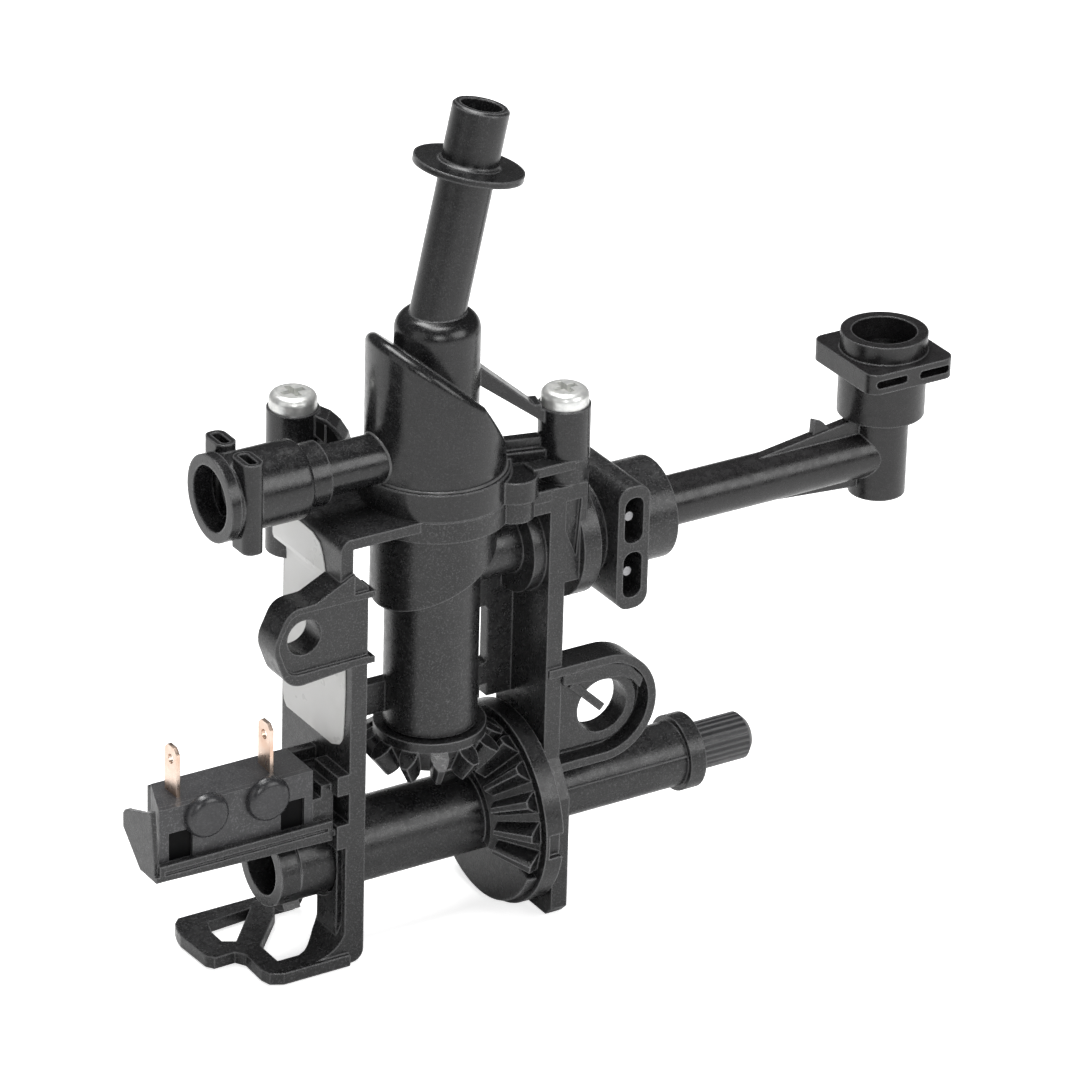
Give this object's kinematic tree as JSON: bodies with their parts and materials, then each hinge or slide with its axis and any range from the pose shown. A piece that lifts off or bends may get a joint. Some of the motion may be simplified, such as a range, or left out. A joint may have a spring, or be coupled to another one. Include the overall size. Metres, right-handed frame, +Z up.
{
  "type": "diverter valve",
  "caption": "Knob-operated plastic diverter valve with bevel gear drive, position microswitch, hose ports and a mounting bracket",
  "frame": {"origin": "On the axis of the left fixing lug's hole, half way through its wall.", "axes": "+X runs along the drive shaft towards the knob end, +Y runs from the open front to the back, +Z runs up the valve axis."},
  "size_m": [0.1105, 0.0268, 0.1055],
  "materials": {
    "black_nylon": "glass-filled nylon, semi-matt, finely grained",
    "gear_plastic": "acetal, satin",
    "switch_body": "smooth thermoset, satin",
    "zinc_steel": "bright zinc plate",
    "spring_steel": "stainless spring wire",
    "tinned_brass": "stamped, lightly tinned",
    "ceramic": "lapped alumina",
    "seal_rubber": "EPDM"
  },
  "bodies": {
    "bracket": {"common_terminal": "tinned_brass", "contact_terminal": "tinned_brass", "cover_screws": "zinc_steel", "disc_seal": "seal_rubber", "fixed_disc": "ceramic", "frame": "black_nylon", "outlet_clip": "spring_steel", "outlet_o_ring": "seal_rubber", "outlet_pipe": "black_nylon", "switch_blade": "tinned_brass", "switch_case": "switch_body", "switch_cover": "switch_body", "switch_pins": "gear_plastic", "thrust_spring": "spring_steel", "valve_cover": "black_nylon"},
    "drive": {"drive_gear": "gear_plastic", "knob_spindle": "gear_plastic"},
    "valve_rotor": {"rotor": "gear_plastic", "moving_disc": "ceramic", "bevel_pinion": "gear_plastic", "stem_o_ring_1": "seal_rubber", "stem_o_ring_2": "seal_rubber"},
    "plunger": {"switch_plunger": "gear_plastic"}
  },
  "joints": [
    {"name": "knob_turn", "type": "hinge", "parent": "bracket", "child": "drive", "pos_m": [0.0214, 0.0053, -0.0332], "axis": [-1, 0, 0], "range_deg": [0, 90]},
    {"name": "rotor_turn", "type": "hinge", "parent": "bracket", "child": "valve_rotor", "pos_m": [0.0214, 0.0053, -0.0332], "axis": [0, 0, 1], "range_deg": [0, 135]},
    {"name": "plunger_press", "type": "slide", "parent": "bracket", "child": "plunger", "axis": [0, 0, 1], "range_m": [0, 0.0007335]}
  ],
  "couplings": [
    {"joint": "rotor_turn", "follows": "knob_turn", "ratio": 1.5},
    {"joint": "plunger_press", "follows": "knob_turn", "m_per_rad": 0.00046696}
  ]
}
